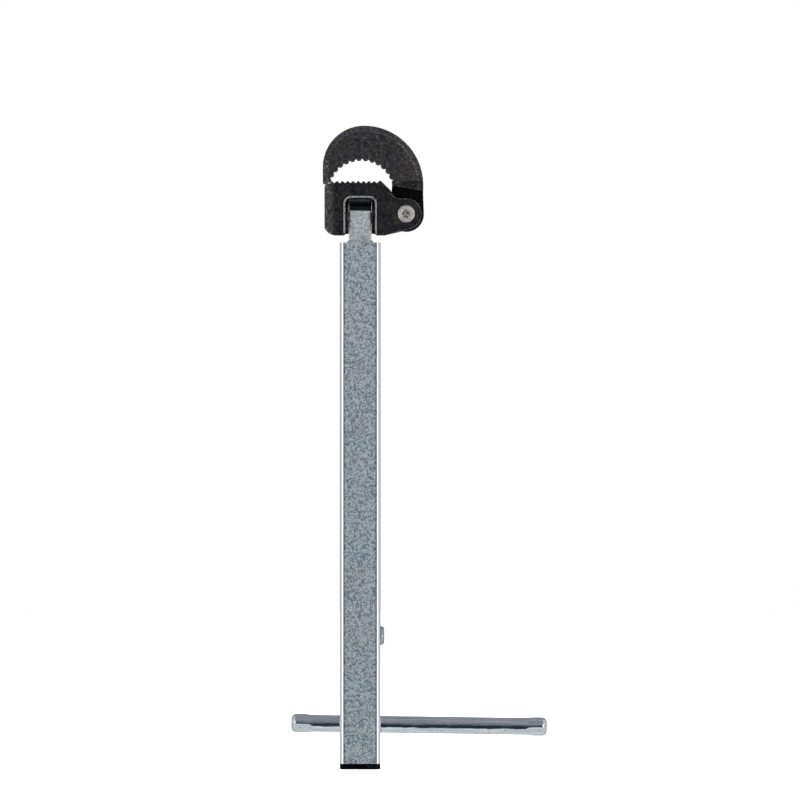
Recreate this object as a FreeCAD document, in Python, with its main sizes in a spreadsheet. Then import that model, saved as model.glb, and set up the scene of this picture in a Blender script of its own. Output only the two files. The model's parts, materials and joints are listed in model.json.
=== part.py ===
import FreeCAD, Part

import math
import os

import Sketcher
from FreeCAD import Placement, Rotation, Vector

# Telescoping basin wrench, in millimetres, standing on its end cap.
# +Z runs up the shank to the jaws, +X points along the long arm of the T-bar
# and the origin is the centre of the end cap's underside.

DIMENSIONS = {
    # square outer tube and its end cap
    "tube_width": 20.0,
    "tube_wall": 2.0,
    "tube_corner": 1.9,
    "tube_bottom": 2.8,
    "tube_top": 259.0,
    "cap_corner": 2.2,
    "cap_edge": 1.1,
    "plug_width": 15.6,
    "plug_height": 11.0,
    "plug_wall": 1.8,
    "barb_width": 15.94,
    "barb_height": 1.2,
    "barb_pitch": 4.0,
    # sliding T-bar and the hole it runs in
    "handle_height": 22.0,
    "handle_radius": 4.25,
    "handle_length": 126.0,
    "handle_short_arm": 34.0,
    "handle_tilt": 0.84,
    "nose_radius": 3.2,
    "nose_length": 1.5,
    "handle_hole_radius": 4.45,
    "ear_radius": 4.65,
    "ear_flat": 3.5,
    "ear_length": 11.5,
    "ear_roll": 45.0,
    # square inner bar, its tongue and its spring button
    "bar_width": 15.5,
    "bar_corner": 0.8,
    "bar_bottom": 34.0,
    "shoulder_top": 260.4,
    "tongue_width": 11.0,
    "tongue_top": 277.2,
    "tongue_bevel": 2.5,
    "tongue_corner": 0.6,
    "button_height": 65.5,
    "button_radius": 4.7,
    "button_proud": 1.95,
    "button_shoulder": 0.45,
    "flange_radius": 5.4,
    "flange_thickness": 1.5,
    "pocket_radius": 5.5,
    "pocket_floor": -3.0,
    "pocket_lip": 1.0,
    "lip_radius": 4.8,
    "lock_hole_radius": 5.0,
    "lock_pitch": 59.33,
    "lock_positions": 4,
    "button_coil_radius": 3.6,
    "button_wire": 0.8,
    "button_turns": 5.0,
    # cross pin that the head tilts on
    "tilt_height": 271.3,
    "head_pin_radius": 3.0,
    "head_pin_clearance": 0.05,
    "head_pin_left": -17.3,
    "head_pin_right": 11.4,
    "head_pin_chamfer": 0.5,
    # heel jaw: the straight toothed casting on the tongue
    "head_thickness": 18.0,
    "heel_left": -17.6,
    "heel_bottom": 262.7,
    "heel_foot_left": -11.4,
    "heel_foot_right": 12.0,
    "heel_foot_radius": 6.5,
    "heel_foot_height": 3.6,
    "heel_corner": 286.7,
    "heel_corner_radius": 3.0,
    "heel_land_left": -15.2,
    "gullet_height": 288.15,
    "tip_height": 289.5,
    "first_tip": -13.9,
    "heel_pitch": 2.6,
    "heel_gullets": 9,
    "slope_top_x": 10.2,
    "slope_bottom_x": 15.2,
    "slope_bottom_height": 284.5,
    "throat_right": 19.4,
    "throat_radius": 4.2,
    "fork_half_width": 7.1,
    "fork_roof": 280.8,
    "fork_roof_corner": 2.6,
    "fork_edge": 0.9,
    "cheek_half_gap": 5.6,
    "cheek_radius": 8.0,
    "cheek_web": 12.0,
    "stop_width": 4.0,
    "stop_drop": 0.9,
    "swing_edge": 2.5,
    "side_edge": 4.5,
    # hook jaw: the curved toothed casting that swings on the jaw pin
    "pin_x": 22.7,
    "pin_height": 273.1,
    "boss_radius": 7.6,
    "boss_tangent": -75.0,
    "clevis_gap": 7.4,
    "clevis_radius": 9.3,
    "tail_thickness": 7.0,
    "tail_radius": 8.7,
    "tail_root_left": 15.9,
    "tail_root_height": 289.0,
    "tail_inset": 0.1,
    "tail_shoulder": 0.6,
    "tail_root_inset": 3.0,
    "hook_thickness": 16.0,
    "hook_left": -18.4,
    "hook_right": 31.1,
    "crown_x": 1.9,
    "crown_height": 316.6,
    "hook_edge": 2.6,
    "tip_bottom": 287.7,
    "tip_rise": 0.5,
    "tip_inner_x": -17.3,
    "bite_x": 0.4,
    "bite_height": 283.6,
    "bite_radius": 15.9,
    "bite_start": 159.0,
    "bite_end": 17.0,
    "bite_gullets": 13,
    "tooth_depth": 1.35,
    "step_left_height": 287.1,
    "step_right_height": 284.5,
    # jaw pin, riveted over at both ends
    "jaw_pin_radius": 4.2,
    "jaw_pin_clearance": 0.05,
    "rivet_proud": 0.35,
    "rivet_chamfer": 0.6,
    "dimple_radius": 2.4,
    "dimple_depth": 0.9,
    # torsion spring that closes the hook jaw
    "jaw_coil_radius": 5.7,
    "jaw_wire": 1.0,
    "jaw_turns": 1.75,
    "jaw_rise": 2.0,
    "spring_play": 0.1,
    "recess_radius": 6.9,
    "recess_depth": 3.2,
    "front_leg_reach": 10.5,
    "front_leg_slot": 1.6,
    "back_leg_reach": 10.8,
    "leg_hole_radius": 0.7,
    "relief_start": 172.0,
    "relief_end": 250.0,
    # leaf spring that clicks the head over at every quarter turn
    "leaf_span": 14.0,
    "leaf_rise": 2.4,
    "leaf_thickness": 0.7,
    "leaf_width": 11.1,
    "leaf_lift": 0.05,
}

# Room left past a face by a cut that goes right through it.
OVERRUN = 1.0
# A relief cut from the jaw pin outwards runs this many tail radii.
RELIEF_REACH = 1.5

document = FreeCAD.newDocument("basin_wrench")
sheet = document.addObject("Spreadsheet::Sheet", "Sheet")
for row, (alias, value) in enumerate(DIMENSIONS.items(), start=1):
    sheet.set(f"A{row}", alias)
    sheet.set(f"B{row}", str(value))
    sheet.setAlias(f"B{row}", alias)
document.recompute()


class Size:
    """A dimension: its value now, and the sheet expression that keeps it up to date."""

    def __init__(self, value, text):
        self.value = float(value)
        self.text = text

    @staticmethod
    def of(thing):
        return thing if isinstance(thing, Size) else Size(thing, repr(float(thing)))

    def __add__(self, other):
        other = Size.of(other)
        return Size(self.value + other.value, f"({self.text} + {other.text})")

    def __sub__(self, other):
        other = Size.of(other)
        return Size(self.value - other.value, f"({self.text} - {other.text})")

    def __mul__(self, other):
        other = Size.of(other)
        return Size(self.value * other.value, f"({self.text} * {other.text})")

    def __truediv__(self, other):
        other = Size.of(other)
        return Size(self.value / other.value, f"({self.text} / {other.text})")

    def __neg__(self):
        return Size(-self.value, f"(-1 * {self.text})")

    def cos(self):
        return Size(math.cos(math.radians(self.value)), f"cos({self.text} * 1 deg)")

    def sin(self):
        return Size(math.sin(math.radians(self.value)), f"sin({self.text} * 1 deg)")

    def root(self):
        return Size(math.sqrt(self.value), f"sqrt({self.text})")


def size(alias):
    """A dimension by its name in the sheet."""
    return Size(sheet.get(alias), f"Sheet.{alias}")


def bind(target, prop, amount):
    """Tie one property of a feature to the sheet."""
    target.setExpression(prop, Size.of(amount).text)


def new_body(label):
    body = document.addObject("PartDesign::Body", label)
    body.Label = label
    return body


def new_sketch(body, name, role, offset=0.0):
    """A sketch on one of the body's own origin planes, lifted along the plane's normal."""
    plane = next(f for f in body.Origin.OriginFeatures if f.Role == role)
    sketch = body.newObject("Sketcher::SketchObject", f"{body.Label}_{name}")
    sketch.AttachmentSupport = [(plane, "")]
    sketch.MapMode = "FlatFace"
    bind(sketch, "AttachmentOffset.Base.z", offset)
    return sketch


def place_sketch(sketch, across, up):
    """Move a sketch's own origin within its plane, for a pattern that turns about it."""
    bind(sketch, "AttachmentOffset.Base.x", across)
    bind(sketch, "AttachmentOffset.Base.y", up)


def pin_down(sketch, kind, amount, *where):
    """Add one dimension to a sketch and tie it to the sheet."""
    index = sketch.addConstraint(Sketcher.Constraint(kind, *where, amount.value))
    bind(sketch, f"Constraints[{index}]", amount)


def fix_point(sketch, edge, end, across, up):
    pin_down(sketch, "DistanceX", Size.of(across), -1, 1, edge, end)
    pin_down(sketch, "DistanceY", Size.of(up), -1, 1, edge, end)


def circle(sketch, across, up, radius):
    centre = Vector(Size.of(across).value, Size.of(up).value, 0)
    edge = sketch.addGeometry(Part.Circle(centre, Vector(0, 0, 1), radius.value))
    pin_down(sketch, "Radius", radius, edge)
    fix_point(sketch, edge, 3, across, up)


def arc_through(first, last, radius, turn):
    """The short arc between two points. turn is 1 where the outline bends left, -1 right."""
    chord = last - first
    reach = math.sqrt(radius ** 2 - (chord.Length / 2) ** 2)
    aside = Vector(-chord.y, chord.x, 0).normalize() * (reach * turn)
    centre = (first + last) / 2 + aside
    angles = [math.atan2(p.y - centre.y, p.x - centre.x) for p in (first, last)]
    if turn < 0:
        angles.reverse()
    return Part.ArcOfCircle(Part.Circle(centre, Vector(0, 0, 1), radius), *angles)


def outline(sketch, *corners):
    """A closed outline through (across, up) corners. A corner that also has a radius is
    reached by an arc: positive bends left, negative bends right."""
    points = [Vector(Size.of(c[0]).value, Size.of(c[1]).value, 0) for c in corners]
    ends = []
    for here, corner in enumerate(corners):
        first, last = points[here - 1], points[here]
        if len(corner) == 2:
            edge = sketch.addGeometry(Part.LineSegment(first, last))
            ends.append((edge, 1, 2))
            continue
        radius = corner[2]
        turn = 1 if radius.value > 0 else -1
        bare = radius if turn > 0 else -radius
        edge = sketch.addGeometry(arc_through(first, last, bare.value, turn))
        pin_down(sketch, "Radius", bare, edge)
        ends.append((edge, 1, 2) if turn > 0 else (edge, 2, 1))
    for here, corner in enumerate(corners):
        edge, start, _ = ends[(here + 1) % len(corners)]
        before, _, finish = ends[here]
        sketch.addConstraint(Sketcher.Constraint("Coincident", before, finish, edge, start))
        fix_point(sketch, edge, start, corner[0], corner[1])


def box_outline(sketch, left, low, right, high):
    outline(sketch, (left, low), (right, low), (right, high), (left, high))


def rounded_square(sketch, width, corner):
    """A square about the sketch's origin with its corners rounded."""
    side = width / 2
    near = side - corner
    outline(
        sketch,
        (-near, -side, corner), (near, -side),
        (side, -near, corner), (side, near),
        (near, side, corner), (-near, side),
        (-side, near, corner), (-side, -near),
    )


def feature(body, kind, name, sketch, length, both_ways=False, reverse=False):
    """Pad or pocket a sketch by a length, one way or half to each side."""
    made = body.newObject(f"PartDesign::{kind}", f"{body.Label}_{name}")
    made.Profile = sketch
    made.Type = "Length"
    bind(made, "Length", length)
    made.SideType = "Symmetric" if both_ways else "One side"
    made.Reversed = reverse
    sketch.Visibility = False
    document.recompute()
    return made


def pad(body, name, sketch, length, **ways):
    return feature(body, "Pad", name, sketch, length, **ways)


def pocket(body, name, sketch, length, **ways):
    """A cut, which has to remove material."""
    before = body.Shape.Volume
    made = feature(body, "Pocket", name, sketch, length, **ways)
    if made.Shape.Volume > before - 1e-3:
        raise RuntimeError(f"{made.Name} cuts nothing")
    return made


def edges_where(shape, wanted):
    """Names of the edges that a test picks out."""
    return [f"Edge{n}" for n, edge in enumerate(shape.Edges, start=1) if wanted(edge)]


def at_height(edge, height):
    """Does the edge lie flat at this height?"""
    box = edge.BoundBox
    return abs(box.ZMin - height) < 1e-3 and abs(box.ZMax - height) < 1e-3


def at_depth(edge, depth):
    """Does the edge lie in the front or the back face, this far from the middle?"""
    box = edge.BoundBox
    return box.YLength < 1e-3 and abs(abs(box.YMin) - depth) < 1e-3


def dress(body, kind, name, wanted, amount):
    """Fillet or chamfer the edges of the body that a test picks out."""
    base = body.Tip
    made = body.newObject(f"PartDesign::{kind}", f"{body.Label}_{name}")
    made.Base = (base, edges_where(base.Shape, wanted))
    bind(made, "Radius" if kind == "Fillet" else "Size", amount)
    document.recompute()
    return made


def pattern(body, kind, name, original, **settings):
    """Repeat a feature, and make the pattern the body's tip so that it counts."""
    made = body.newObject(f"PartDesign::{kind}", f"{body.Label}_{name}")
    made.Originals = [original]
    for prop, value in settings.items():
        if isinstance(value, Size):
            bind(made, prop, value)
        else:
            setattr(made, prop, value)
    body.Tip = made
    document.recompute()
    return made


def add_coil(body, section, height, turns):
    """Sweep a wire's section along a helix about its sketch's horizontal axis."""
    made = body.newObject("PartDesign::AdditiveHelix", f"{body.Label}_coil")
    made.Profile = section
    made.ReferenceAxis = (section, ["H_Axis"])
    made.Mode = "height-turns-angle"
    bind(made, "Height", height)
    bind(made, "Turns", turns)
    section.Visibility = False
    document.recompute()
    return made


# Outer tube: square tube with the T-bar's hole right through it and a row of lock
# holes up its right-hand wall.

def make_outer_tube():
    body = new_body("outer_tube")
    width = size("tube_width")
    height = size("tube_top") - size("tube_bottom")
    outside = new_sketch(body, "outside", "XY_Plane", size("tube_bottom"))
    rounded_square(outside, width, size("tube_corner"))
    pad(body, "wall", outside, height)
    inside = new_sketch(body, "inside", "XY_Plane", size("tube_bottom"))
    bore = width - size("tube_wall") * 2
    half = bore / 2
    box_outline(inside, -half, -half, half, half)
    pocket(body, "bore", inside, height, reverse=True)
    handle_hole = new_sketch(body, "handle_hole", "YZ_Plane")
    circle(handle_hole, 0, size("handle_height"), size("handle_hole_radius"))
    pocket(body, "handle_way", handle_hole, width + OVERRUN * 2, both_ways=True)
    lock_hole = new_sketch(body, "lock_hole", "YZ_Plane")
    circle(lock_hole, 0, size("button_height"), size("lock_hole_radius"))
    first = pocket(body, "lock", lock_hole, width, reverse=True)
    count = size("lock_positions")
    pattern(
        body, "LinearPattern", "locks", first,
        Direction=(lock_hole, ["V_Axis"]),
        Length=size("lock_pitch") * (count - 1),
        Occurrences=count,
    )
    return body


# End cap: a moulded plug with a flange as wide as the tube and two barbed rings.

def make_end_cap():
    body = new_body("end_cap")
    flange = new_sketch(body, "flange", "XY_Plane")
    rounded_square(flange, size("tube_width"), size("cap_corner"))
    pad(body, "foot", flange, size("tube_bottom"))
    plug = new_sketch(body, "plug", "XY_Plane", size("tube_bottom"))
    half = size("plug_width") / 2
    box_outline(plug, -half, -half, half, half)
    pad(body, "stem", plug, size("plug_height"))
    for ring in (1, 2):
        level = size("tube_bottom") + size("barb_pitch") * ring
        barb = new_sketch(body, f"barb_{ring}", "XY_Plane", level)
        reach = size("barb_width") / 2
        box_outline(barb, -reach, -reach, reach, reach)
        pad(body, f"ring_{ring}", barb, size("barb_height"))
    hollow = new_sketch(body, "hollow", "XY_Plane", size("tube_bottom"))
    inner = half - size("plug_wall")
    box_outline(hollow, -inner, -inner, inner, inner)
    pocket(body, "core", hollow, size("plug_height"), reverse=True)
    dress(body, "Fillet", "edge", lambda edge: at_height(edge, 0), size("cap_edge"))
    return body


# T-bar: a round bar whose ends are pressed out into ears that keep it in the tube, and
# then turned to a blunt cone. It is drawn along X and leans by the play in its hole.

def ear_outline(sketch):
    flat, radius = size("ear_flat"), size("ear_radius")
    reach = (radius * radius - flat * flat).root()
    outline(
        sketch,
        (reach, -flat), (reach, flat, radius),
        (-reach, flat), (-reach, -flat, radius),
    )


def make_t_bar():
    body = new_body("t_bar")
    left = -size("handle_short_arm")
    right = left + size("handle_length")
    ear = size("ear_length")
    round_bar = new_sketch(body, "round", "YZ_Plane", left + ear)
    circle(round_bar, 0, 0, size("handle_radius"))
    pad(body, "bar", round_bar, size("handle_length") - ear * 2)
    for name, start in (("left", left), ("right", right - ear)):
        pressed = new_sketch(body, f"{name}_ear", "YZ_Plane", start)
        ear_outline(pressed)
        pad(body, f"{name}_bulge", pressed, ear)
    slope = (size("handle_radius") - size("nose_radius")) / size("nose_length")
    for name, end, inward in (("left", left, 1), ("right", right, -1)):
        nose = new_sketch(body, f"{name}_nose", "XZ_Plane")
        deep = size("nose_length") * 2
        outer = end - Size.of(OVERRUN * inward)
        inner = end + deep * inward
        low = size("nose_radius") - slope * OVERRUN
        high = size("nose_radius") + slope * deep
        outline(nose, (outer, low), (inner, high), (outer, high))
        cut = body.newObject("PartDesign::Groove", f"t_bar_{name}_cone")
        cut.Profile = nose
        cut.ReferenceAxis = (nose, ["H_Axis"])
        cut.Angle = 360
        document.recompute()
    lean = Rotation(Vector(0, 1, 0), sheet.get("handle_tilt"))
    roll = Rotation(Vector(1, 0, 0), sheet.get("ear_roll"))
    body.Placement = Placement(Vector(0, 0, 0), lean * roll)
    bind(body, "Placement.Base.z", size("handle_height"))
    return body


# Inner bar: square bar with a stepped-down tongue for the head and a pocket for the
# spring button, its mouth staked to hold the button in.

def cut_bevel(body, name, role, near, top, side):
    """Bevel one side of the bar at 45 degrees, from this near to its axis at this height."""
    label = f"{name}_{role[:2].lower()}_{'high' if side > 0 else 'low'}"
    bevel = new_sketch(body, label, role)
    far = size("bar_width") / 2 + OVERRUN
    corners = [(near * side, top), (far * side, top - (far - near)),
               (far * side, top + OVERRUN), (near * side, top + OVERRUN)]
    outline(bevel, *corners)
    pocket(body, f"{label}_cut", bevel, size("bar_width") * 2, both_ways=True)


def make_inner_bar():
    body = new_body("inner_bar")
    shank = new_sketch(body, "shank", "XY_Plane", size("bar_bottom"))
    rounded_square(shank, size("bar_width"), size("bar_corner"))
    pad(body, "bar", shank, size("shoulder_top") - size("bar_bottom"))
    half = size("tongue_width") / 2
    for role in ("XZ_Plane", "YZ_Plane"):
        for side in (1, -1):
            cut_bevel(body, "shoulder", role, half, size("shoulder_top"), side)
    tongue = new_sketch(body, "tongue", "XY_Plane", size("shoulder_top"))
    rounded_square(tongue, size("tongue_width"), size("tongue_corner"))
    pad(body, "neck", tongue, size("tongue_top") - size("shoulder_top"))
    for side in (1, -1):
        cut_bevel(body, "cam", "YZ_Plane", half - size("tongue_bevel"), size("tongue_top"), side)
    tilt_bore = new_sketch(body, "tilt_bore", "YZ_Plane")
    bore = size("head_pin_radius") + size("head_pin_clearance")
    circle(tilt_bore, 0, size("tilt_height"), bore)
    pocket(body, "tilt_way", tilt_bore, size("bar_width"), both_ways=True)
    face = size("bar_width") / 2
    mouth = new_sketch(body, "mouth", "YZ_Plane", size("pocket_floor"))
    circle(mouth, 0, size("button_height"), size("lip_radius"))
    pocket(body, "lip", mouth, face - size("pocket_floor") + OVERRUN, reverse=True)
    well = new_sketch(body, "well", "YZ_Plane", size("pocket_floor"))
    circle(well, 0, size("button_height"), size("pocket_radius"))
    depth = face - size("pocket_lip") - size("pocket_floor")
    pocket(body, "room", well, depth, reverse=True)
    return body


# Lock button: a domed plunger with a flange behind the pocket's lip.

def make_lock_button():
    body = new_body("lock_button")
    back = size("bar_width") / 2 - size("pocket_lip") - size("flange_thickness")
    flange = new_sketch(body, "flange", "YZ_Plane", back)
    circle(flange, 0, 0, size("flange_radius"))
    pad(body, "foot", flange, size("flange_thickness"))
    stem = new_sketch(body, "stem", "YZ_Plane", back)
    circle(stem, 0, 0, size("button_radius"))
    nose = size("tube_width") / 2 + size("button_proud")
    pad(body, "plunger", stem, nose - back)

    def is_nose(edge):
        return abs(edge.BoundBox.XMin - nose.value) < 1e-3

    round_off = size("button_proud") - size("button_shoulder") / 2
    dress(body, "Fillet", "dome", is_nose, round_off)
    bind(body, "Placement.Base.z", size("button_height"))
    return body


# Spring behind the button, between its flange and the pocket's floor.

def make_lock_button_spring():
    body = new_body("lock_button_spring")
    wire, play = size("button_wire"), size("spring_play")
    flange_back = size("bar_width") / 2 - size("pocket_lip") - size("flange_thickness")
    first = size("pocket_floor") + wire / 2 + play
    last = flange_back - wire / 2 - play
    section = new_sketch(body, "wire", "XZ_Plane")
    circle(section, first, size("button_coil_radius"), wire / 2)
    add_coil(body, section, last - first, size("button_turns"))
    bind(body, "Placement.Base.z", size("button_height"))
    document.recompute()
    return body


# Heel jaw: the casting that tilts on the tongue. Straight teeth on top, a fork below
# for the tongue, and a clevis on the right for the hook jaw's tail. Inside the fork, a round
# land on each wall guides the tongue, a web joins it to the roof beside the leaf spring, and
# a low rib under the roof stops the spring's middle.

def jaw_spring_back_leg():
    """Where the torsion spring's back leg lies: its depth, and its reach from the pin."""
    start = size("tail_thickness") / 2 - size("recess_depth") + size("jaw_wire") / 2
    return start + size("jaw_rise") + size("spring_play"), size("back_leg_reach")


def heel_outline(sketch):
    pin_x, pin_height, boss = size("pin_x"), size("pin_height"), size("boss_radius")
    rise = size("boss_tangent")
    outline(
        sketch,
        (size("heel_foot_left"), size("heel_bottom"), size("heel_foot_radius")),
        (size("heel_foot_right"), size("heel_bottom")),
        (pin_x + boss * rise.cos(), pin_height + boss * rise.sin()),
        (pin_x + boss, pin_height, boss),
        (pin_x, pin_height + boss, boss),
        (size("throat_right"), pin_height + boss),
        (size("slope_bottom_x"), size("slope_bottom_height"), -size("throat_radius")),
        (size("slope_top_x"), size("tip_height")),
        (size("first_tip"), size("tip_height")),
        (size("heel_land_left"), size("gullet_height")),
        (size("heel_left"), size("heel_corner"), size("heel_corner_radius")),
        (size("heel_left"), size("heel_bottom") + size("heel_foot_height")),
    )


def fork_outline(sketch):
    half, corner, roof = size("fork_half_width"), size("fork_roof_corner"), size("fork_roof")
    floor = size("heel_bottom") - OVERRUN
    outline(
        sketch,
        (-half, floor), (half, floor), (half, roof - corner),
        (half - corner, roof, corner), (corner - half, roof),
        (-half, roof - corner, corner),
    )


def clevis_outline(sketch):
    pin_x, pin_height, radius = size("pin_x"), size("pin_height"), size("clevis_radius")
    far = pin_x + radius * 2
    outline(
        sketch,
        (pin_x - radius, size("tip_height") + OVERRUN),
        (pin_x - radius, pin_height),
        (pin_x, pin_height - radius, radius),
        (far, pin_height - radius),
        (far, size("tip_height") + OVERRUN),
    )


def make_heel_jaw():
    body = new_body("heel_jaw")
    thick = size("head_thickness")
    profile = new_sketch(body, "profile", "XZ_Plane")
    heel_outline(profile)
    pad(body, "casting", profile, thick, both_ways=True)
    left, low = size("heel_left").value, size("heel_bottom").value
    half = thick.value / 2

    fork = new_sketch(body, "fork", "XZ_Plane")
    fork_outline(fork)
    pocket(body, "fork_way", fork, thick + OVERRUN * 2, both_ways=True)
    fork_half = size("fork_half_width").value + 1e-3

    def is_fork_edge(edge):
        box = edge.BoundBox
        return at_depth(edge, half) and -fork_half < box.XMin and box.XMax < fork_half

    def is_side_edge(edge):
        return at_depth(edge, half) and edge.BoundBox.XMax < left + 1e-3

    def is_swing_edge(edge):
        return at_depth(edge, half) and edge.BoundBox.ZMax < low + 1e-3

    dress(body, "Fillet", "side", is_side_edge, size("side_edge"))
    dress(body, "Fillet", "swing", is_swing_edge, size("swing_edge"))
    dress(body, "Chamfer", "fork_rim", is_fork_edge, size("fork_edge"))
    gap = size("cheek_half_gap")
    reach = size("fork_half_width") - gap + OVERRUN
    for name, start in (("left", -gap - reach), ("right", gap)):
        cheek = new_sketch(body, f"{name}_cheek", "YZ_Plane", start)
        circle(cheek, 0, size("tilt_height"), size("cheek_radius"))
        pad(body, f"{name}_cheek_land", cheek, reach)
        web = new_sketch(body, f"{name}_web", "YZ_Plane", start)
        half_web, top = size("cheek_web") / 2, size("fork_roof") + OVERRUN
        box_outline(web, -half_web, size("tilt_height"), half_web, top)
        pad(body, f"{name}_cheek_web", web, reach)
    stop = new_sketch(body, "stop", "YZ_Plane")
    half_stop, roof = size("stop_width") / 2, size("fork_roof")
    box_outline(stop, -half_stop, roof - size("stop_drop"), half_stop, roof + OVERRUN)
    pad(body, "spring_stop", stop, size("fork_half_width") * 2, both_ways=True)
    clevis = new_sketch(body, "clevis", "XZ_Plane")
    clevis_outline(clevis)
    pocket(body, "clevis_way", clevis, size("clevis_gap"), both_ways=True)
    tilt_bore = new_sketch(body, "tilt_bore", "YZ_Plane", size("heel_left") - OVERRUN)
    circle(tilt_bore, 0, size("tilt_height"), size("head_pin_radius"))
    pin_reach = size("head_pin_right") - size("heel_left") + OVERRUN
    pocket(body, "tilt_way", tilt_bore, pin_reach, reverse=True)
    leg_depth, leg_reach = jaw_spring_back_leg()
    leg_bore = new_sketch(body, "leg_bore", "YZ_Plane", size("pin_x") - leg_reach)
    circle(leg_bore, leg_depth, size("pin_height"), size("leg_hole_radius"))
    pocket(body, "leg_way", leg_bore, leg_reach - size("clevis_radius") + OVERRUN, reverse=True)
    pin_bore = new_sketch(body, "pin_bore", "XZ_Plane")
    circle(pin_bore, size("pin_x"), size("pin_height"), size("jaw_pin_radius"))
    pocket(body, "pin_way", pin_bore, thick + OVERRUN * 2, both_ways=True)
    notch = new_sketch(body, "notch", "XZ_Plane")
    pitch = size("heel_pitch")
    middle = size("first_tip") + pitch / 2
    lift = Size.of(OVERRUN)
    wide = pitch / 2 * ((size("tip_height") - size("gullet_height") + lift)
                        / (size("tip_height") - size("gullet_height")))
    outline(
        notch,
        (middle, size("gullet_height")),
        (middle + wide, size("tip_height") + lift),
        (middle - wide, size("tip_height") + lift),
    )
    first = pocket(body, "gullet", notch, thick + OVERRUN * 2, both_ways=True)
    count = size("heel_gullets")
    pattern(
        body, "LinearPattern", "teeth", first,
        Direction=(notch, ["H_Axis"]),
        Length=pitch * (count - 1),
        Occurrences=count,
    )
    return body


# Hook jaw: a thick toothed crescent on a thinner tail that turns between the heel
# jaw's cheeks.

def crown_radii():
    """The crescent's back is two quarter circles that meet at its top."""
    return size("crown_x") - size("hook_left"), size("hook_right") - size("crown_x")


def hook_outline(sketch):
    bite_x, bite_height, bite = size("bite_x"), size("bite_height"), size("bite_radius")
    start, end = size("bite_start"), size("bite_end")
    crown_x, crown = size("crown_x"), size("crown_height")
    left_radius, right_radius = crown_radii()
    outline(
        sketch,
        (size("hook_left"), crown - left_radius, left_radius),
        (size("hook_left"), size("tip_bottom") + size("tip_rise")),
        (size("tip_inner_x"), size("tip_bottom")),
        (bite_x + bite * start.cos(), bite_height + bite * start.sin()),
        (bite_x, bite_height + bite, -bite),
        (bite_x + bite * end.cos(), bite_height + bite * end.sin(), -bite),
        (bite_x + bite * end.cos(), size("step_left_height")),
        (size("hook_right"), size("step_right_height")),
        (size("hook_right"), crown - right_radius),
        (crown_x, crown, right_radius),
    )


def tail_outline(sketch):
    pin_x, pin_height, radius = size("pin_x"), size("pin_height"), size("tail_radius")
    high = size("tail_root_height")
    outline(
        sketch,
        (size("tail_root_left"), high),
        (pin_x - radius, pin_height),
        (pin_x, pin_height - radius, radius),
        (pin_x + radius, pin_height, radius),
        (size("hook_right") - size("tail_inset"), size("step_right_height") + size("tail_shoulder")),
        (size("hook_right") - size("tail_root_inset"), high),
    )


def cut_leg_ways(body):
    """A slot for the spring's front leg, and a relief that the back leg sweeps."""
    pin_x, pin_height = size("pin_x"), size("pin_height")
    back = -(size("tail_thickness") / 2)
    slot = new_sketch(body, "leg_slot", "XZ_Plane", back)
    half = size("front_leg_slot") / 2
    top = pin_height + size("front_leg_reach") + size("spring_play")
    box_outline(slot, pin_x - half, pin_height, pin_x + half, top)
    pocket(body, "leg_slot_cut", slot, size("recess_depth"), reverse=True)
    relief = new_sketch(body, "relief", "XZ_Plane", back)
    start, end = size("relief_start"), size("relief_end")
    far = size("tail_radius") * RELIEF_REACH
    rim = [(pin_x + far * angle.cos(), pin_height + far * angle.sin())
           for angle in (start, (start + end) / 2, end)]
    outline(relief, (pin_x, pin_height), *rim)
    pocket(body, "relief_cut", relief, size("recess_depth"), reverse=True)


def make_hook_jaw():
    body = new_body("hook_jaw")
    thick = size("hook_thickness")
    half = thick.value / 2
    profile = new_sketch(body, "profile", "XZ_Plane")
    hook_outline(profile)
    pad(body, "crescent", profile, thick, both_ways=True)
    radii = [radius.value for radius in crown_radii()]

    def is_crown_edge(edge):
        radius = getattr(edge.Curve, "Radius", 0)
        return at_depth(edge, half) and min(abs(radius - r) for r in radii) < 1e-3

    dress(body, "Chamfer", "crown", is_crown_edge, size("hook_edge"))
    tail = new_sketch(body, "tail", "XZ_Plane")
    tail_outline(tail)
    pad(body, "web", tail, size("tail_thickness"), both_ways=True)
    bore = new_sketch(body, "bore", "XZ_Plane")
    running = size("jaw_pin_radius") + size("jaw_pin_clearance")
    circle(bore, size("pin_x"), size("pin_height"), running)
    pocket(body, "pin_way", bore, size("tail_thickness") + OVERRUN * 2, both_ways=True)
    recess = new_sketch(body, "recess", "XZ_Plane", -(size("tail_thickness") / 2))
    circle(recess, size("pin_x"), size("pin_height"), size("recess_radius"))
    pocket(body, "spring_seat", recess, size("recess_depth"), reverse=True)
    cut_leg_ways(body)
    notch = new_sketch(body, "notch", "XZ_Plane")
    place_sketch(notch, size("bite_x"), size("bite_height"))
    count = size("bite_gullets")
    step = (size("bite_start") - size("bite_end")) / count
    angle = size("bite_end") + step / 2
    spread = step / 2
    inner, root = size("bite_radius") - OVERRUN, size("bite_radius") + size("tooth_depth")
    outline(
        notch,
        (root * angle.cos(), root * angle.sin()),
        (inner * (angle + spread).cos(), inner * (angle + spread).sin()),
        (inner * (angle - spread).cos(), inner * (angle - spread).sin()),
    )
    first = pocket(body, "gullet", notch, thick + OVERRUN * 2, both_ways=True)
    pattern(
        body, "PolarPattern", "teeth", first,
        Axis=(notch, ["N_Axis"]),
        Angle=step * (count - 1),
        Occurrences=count,
    )
    return body


# Jaw pin: riveted over in the heel jaw's cheeks, with a punched dimple in each end.

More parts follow.
